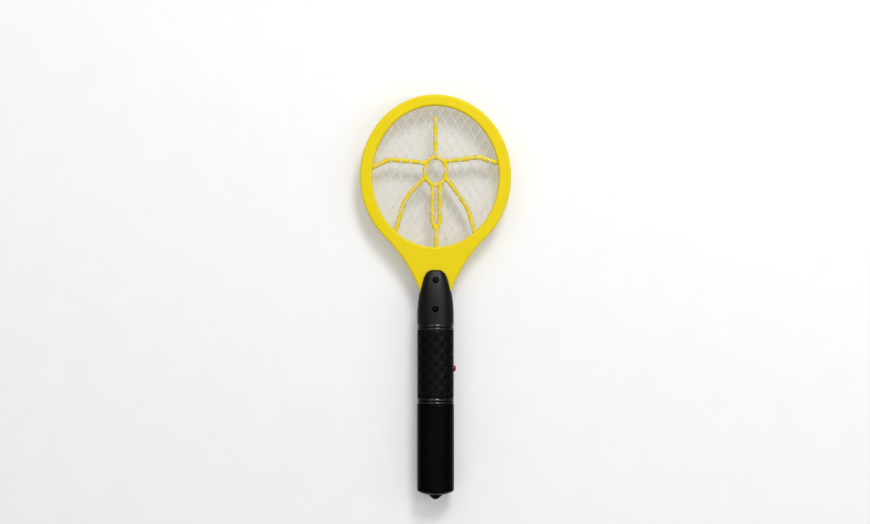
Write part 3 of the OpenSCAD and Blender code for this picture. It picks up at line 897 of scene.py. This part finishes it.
def handle_shell(name, front):
    """One handle half: skin, cavity, pocket for the tang, and holes."""
    below = -5
    above = 30
    pilot_top = 13
    shell = new_piece(name, *handle_outer())
    cavity = new_piece("cavity", *lower_by(handle_cavity(), 0.01))
    cut(cavity, cylinder_z(SCREW_Y[1], below, above, BOSS_R))
    cut_object(shell, cavity)
    outline = head_outline(-0.1)
    pocket, pocket_faces = loft([at_height(outline, -1), at_height(outline, FACE_Z + 0.02)])
    count = len(outline)
    pocket_faces += [tuple(reversed(range(count))), tuple(range(count, 2 * count))]
    cut(shell, (pocket, pocket_faces))
    cut(shell, cylinder_x(10, above, BUTTON_Y, BUTTON_HOLE_R))
    cut(shell, cylinder_x(10, above, LED_Y, LED_HOLE_R))
    for y, floor_z in zip(SCREW_Y, RECESS_FLOOR_Z):
        if front:
            cut(shell, cylinder_z(y, below, above, SCREW_HOLE_R, steps=32))
            cut(shell, cylinder_z(y, floor_z, above, RECESS_R))
        else:
            cut(shell, cylinder_z(y, below, pilot_top, SCREW_HOLE_R, steps=32))
    if not front:
        turn_over(shell)
    tidy_mesh(shell, 38)
    paint_handle(shell)
    return shell


def paint_handle(shell):
    """Gives the nose, the raised squares, the sunk squares and the beads their own gloss."""
    slots = ["black_nose", "grip_raised", "grip_sunk", "black_bead"]
    skin_r = GRIP_R - 1.2
    bead_reach = BEAD_GAP + 1.4
    sunk_r = GRIP_R - SQUARE_DEPTH * 0.75
    for slot in slots:
        shell.data.materials.append(MATERIALS[slot])
    for face in shell.data.polygons:
        x, y, z = face.center / MM
        r = math.hypot(x, z - AXIS_Z)
        if r < skin_r or y > NOSE_ROOT_Y:
            continue
        if min(abs(y - UPPER_BEAD_Y), abs(y - LOWER_BEAD_Y)) < bead_reach:
            face.material_index = slots.index("black_bead")
        elif GRIP_END_Y < y < GRIP_TOP_Y:
            face.material_index = slots.index("grip_sunk" if r < sunk_r else "grip_raised")


# ---------- battery tube, button and small parts ----------

def battery_tube():
    """A fluted tube with a rounded mouth, a shallow dome and a blunt nub."""
    def dome(r):
        return DOME_H * (1 - (r / TUBE_R) ** DOME_POWER)

    flutes = 28
    flute_depth = 0.22
    collar_y = MOUTH_Y - 1.7
    fade = 1.6
    foot_y = TUBE_EDGE_Y + 1.0
    lip = 0.35
    profile = [(0, TUBE_INNER_END_Y), (TUBE_BORE_R, TUBE_INNER_END_Y), (TUBE_BORE_R, MOUTH_Y - lip)]
    profile += [(TUBE_BORE_R + lip, MOUTH_Y), (TUBE_R - lip, MOUTH_Y)]
    profile += [(TUBE_R - 0.1, MOUTH_Y - 0.1), (TUBE_R, MOUTH_Y - lip), (TUBE_R, collar_y)]
    profile += [(TUBE_R, collar_y - fade * k / 4) for k in range(1, 5)]
    profile += [(TUBE_R, y) for y in np.linspace(collar_y - fade, foot_y + fade, 12)[1:]]
    profile += [(TUBE_R, foot_y + fade * (1 - k / 4)) for k in range(1, 5)]
    edge_r = 1.8
    edge_turn = 48
    rim_r = TUBE_R - edge_r + edge_r * math.cos(math.radians(edge_turn))
    rim_y = TUBE_EDGE_Y - dome(rim_r) + edge_r * math.sin(math.radians(edge_turn))
    profile += arc((TUBE_R - edge_r, rim_y), edge_r, 0, -edge_turn, 7)
    profile += [(r, TUBE_EDGE_Y - dome(r)) for r in np.linspace(rim_r - 0.4, NUB_R + 0.3, 14)]
    nub_y = TUBE_EDGE_Y - dome(NUB_R)
    tip_centre_y = TIP_Y + NUB_TIP_R
    profile += [(NUB_R + 0.05, nub_y - 0.1), (NUB_R - 0.25, nub_y - 0.4)]
    profile += [(r, tip_centre_y + s) for r, s in arc((0, 0), NUB_TIP_R, -45, -90, 8)[:-1]]
    profile.append((0, TIP_Y))

    def radius(r, s, turn):
        if r < TUBE_R - 0.01 or s > collar_y or s < foot_y:
            return r
        share = min(1, (collar_y - s) / fade, (s - foot_y) / fade)
        return r - flute_depth * (0.5 - 0.5 * math.cos(flutes * turn)) * max(0, share)

    return revolve(profile, flutes * 8, along_y, radius)


def button():
    """A round push button: flange, stem, side and domed face, along X."""
    tip_x = button_high.x
    flange_x = tip_x - 6.4
    stem_r = 2.5
    side_r = 3.12
    flange_r = 4.2
    flange_top_x = flange_x + 1.0
    dome = 2.3
    profile = [(0, button_low.x), (stem_r, button_low.x), (stem_r, flange_x)]
    profile += [(flange_r - 0.05, flange_x), (flange_r, flange_x + 0.1), (flange_r, flange_top_x - 0.1)]
    profile += [(flange_r - 0.1, flange_top_x), (side_r, flange_top_x)]
    shoulder_x = tip_x - dome
    profile += [(side_r * max(0, math.cos(t)) ** 0.8, shoulder_x + dome * math.sin(t))
                for t in np.linspace(0, math.pi / 2, 14)]
    return revolve(profile, 64, lambda u, v, s: (s, BUTTON_Y + u, v))


def lamp():
    """A 3 mm lamp with a flange and a round end, flush with the grip."""
    start_x = led_low.x
    lens_r = 1.5
    flange_r = 1.9
    flange_top_x = start_x + 1
    profile = [(0, start_x), (flange_r - 0.1, start_x), (flange_r, start_x + 0.1)]
    profile += [(flange_r, flange_top_x - 0.1), (lens_r, flange_top_x)]
    round_x = start_x + 4
    profile += [(lens_r, round_x)]
    profile += [(lens_r * math.cos(t), round_x + lens_r * math.sin(t))
                for t in np.linspace(0.2, 1.45, 7)]
    profile.append((0, round_x + lens_r))
    return revolve(profile, 40, lambda u, v, s: (s, LED_Y + u, v))


# ---------- building the object ----------

def build_head():
    """Both shells, both spiders of ribs and the three grids."""
    shell = head_shell()
    for name, node, part in (("head_front_moulding", "head_front_shell", shell),
                             ("head_rear_moulding", "head_rear_shell", flip_z(shell))):
        obj = new_piece(name, *part, sharp=50)
        finish_piece(obj, "handle", "yellow_shell", nodes=[node])
    for name, node, front in (("front_guard_ribs", "front_spacer", True),
                              ("rear_guard_ribs", "rear_spacer", False)):
        finish_piece(guard_ribs(name, front), "handle", "yellow_rib", nodes=[node])
    grid = outer_grid()
    finish_piece(new_piece("front_wires", *grid), "handle", "grid_wire", nodes=["front_grid"])
    finish_piece(new_piece("rear_wires", *flip_z(grid)), "handle", "grid_wire", nodes=["rear_grid"])
    centre = new_piece("centre_wires", *centre_grid())
    finish_piece(centre, "handle", "grid_wire", nodes=["centre_grid"])


def build_handle():
    """Both handle halves, the battery tube, the button and the lamp."""
    for name, node, front in (("handle_front_moulding", "handle_front_shell", True),
                              ("handle_rear_moulding", "handle_rear_shell", False)):
        shell = handle_shell(name, front)
        finish_piece(shell, "handle", "black_nose", nodes=[node])
    tube = new_piece("battery_tube_moulding", *battery_tube(), sharp=35)
    finish_piece(tube, "battery_tube", "black_tube", nodes=["battery_tube"])
    cap = new_piece("button_moulding", *button(), sharp=35)
    finish_piece(cap, "button", "red_button", nodes=["button_cap"])
    lens = new_piece("indicator_lens", *lamp(), sharp=35)
    finish_piece(lens, "handle", "red_lens", nodes=["indicator_led"])


def dress_cad_nodes():
    """Gives every CAD node its slot's material; the handle's slot is the black of its nose."""
    slots = {s["node"]: s["material_slot"] for s in frame["record"]["subparts"]}
    for name, obj in frame["nodes"].items():
        material = MATERIALS.get(slots[name], MATERIALS["black_nose"])
        obj.data.materials.clear()
        obj.data.materials.append(material)


# ---------- stage ----------

def build_stage():
    """A pale paper floor, in metres, that bends up into a wall all round."""
    reach = 3.6
    bend = 1.8
    top = 4.5
    steps = 72
    profile = [(reach, 0.0)]
    profile += [(reach + bend * math.sin(t), bend - bend * math.cos(t))
                for t in np.linspace(0, math.pi / 2, 13)[1:]]
    profile.append((reach + bend, top))
    points = [(r * math.cos(t), r * math.sin(t), z)
              for r, z in profile for t in np.linspace(0, 2 * math.pi, steps, endpoint=False)]
    faces = [tuple(range(steps))]
    for ring in range(len(profile) - 1):
        for i in range(steps):
            a = ring * steps + i
            b = ring * steps + (i + 1) % steps
            faces.append((a, a + steps, b + steps, b))
    mesh = bpy.data.meshes.new("floor")
    mesh.from_pydata(points, [], faces)
    mesh.shade_smooth()
    floor = bpy.data.objects.new("floor", mesh)
    scene.collection.objects.link(floor)
    n = Nodes("floor_paper")
    n.to_shader(
        Base_Color=n.blend_colour(n.noise(30), (0.815, 0.815, 0.815), (0.83, 0.83, 0.83)),
        Roughness=0.7,
        Emission_Color=(1.0, 1.0, 1.0, 1.0),
        Emission_Strength=0.11,
    )
    floor.data.materials.append(n.material)
    floor.visible_glossy = False


def area_light(name, azimuth, zenith, distance, size, irradiance):
    """A soft light aimed at the head's foot; irradiance is what the floor there receives."""
    azimuth = math.radians(azimuth)
    zenith = math.radians(zenith)
    across = math.sin(zenith)
    direction = Vector((across * math.cos(azimuth), across * math.sin(azimuth), math.cos(zenith)))
    aim = Vector((0, 0.034, 0))
    light = bpy.data.lights.new(name, "AREA")
    light.shape = "RECTANGLE"
    light.size, light.size_y = size
    light.energy = irradiance * math.pi * distance ** 2 / math.cos(zenith)
    obj = bpy.data.objects.new(name, light)
    obj.location = direction * distance + aim
    obj.rotation_euler = direction.to_track_quat("Z", "Y").to_euler()
    scene.collection.objects.link(obj)


def build_world():
    """A studio with a broad pale ceiling, dim walls and a pale ground far below."""
    # Brightness by the height of the direction, from -1 straight down to 1 straight up
    levels = ((-1.0, 0.55), (-0.8, 0.5), (-0.5, 0.12), (0.45, 0.10), (0.85, 0.56))
    world = bpy.data.worlds.new("studio")
    world.use_nodes = True
    tree = world.node_tree
    coords = tree.nodes.new("ShaderNodeTexCoord")
    split = tree.nodes.new("ShaderNodeSeparateXYZ")
    height = tree.nodes.new("ShaderNodeMapRange")
    height.inputs["From Min"].default_value = -1
    ramp = tree.nodes.new("ShaderNodeValToRGB")
    stops = ramp.color_ramp.elements
    while len(stops) < len(levels):
        stops.new(0.5)
    for stop, (z, light) in zip(stops, levels):
        stop.position = (z + 1) / 2
        stop.color = (light, light, light, 1)
    tree.links.new(coords.outputs["Generated"], split.inputs["Vector"])
    tree.links.new(split.outputs["Z"], height.inputs["Value"])
    tree.links.new(height.outputs["Result"], ramp.inputs["Fac"])
    tree.links.new(ramp.outputs["Color"], tree.nodes["Background"].inputs["Color"])
    tree.nodes["Background"].inputs["Strength"].default_value = 1
    scene.world = world


def build_lights():
    """The studio, a key light beyond the head, a fill beside it and a strip on the right."""
    build_world()
    area_light("key", azimuth=72, zenith=41, distance=2.2, size=(0.7, 0.6), irradiance=1.2)
    area_light("fill", azimuth=122, zenith=42, distance=2.2, size=(1.2, 1.0), irradiance=0.25)
    area_light("side_strip", azimuth=6, zenith=40, distance=1.6, size=(0.35, 1.3), irradiance=0.37)
    scene.view_settings.view_transform = "Standard"


def build_camera():
    """Straight over the front face; the picture's width covers 860 mm at the axis."""
    distance = 2.5
    view_width = 0.860
    centre_x = -0.0005
    centre_y = 0.0346
    camera = bpy.data.cameras.new("camera")
    camera.sensor_width = 36
    camera.lens = camera.sensor_width * distance / view_width
    obj = bpy.data.objects.new("camera", camera)
    obj.location = (centre_x, centre_y, AXIS_Z * MM + distance)
    scene.collection.objects.link(obj)
    scene.camera = obj


build_camera()
build_lights()
build_stage()
build_head()
build_handle()
dress_cad_nodes()
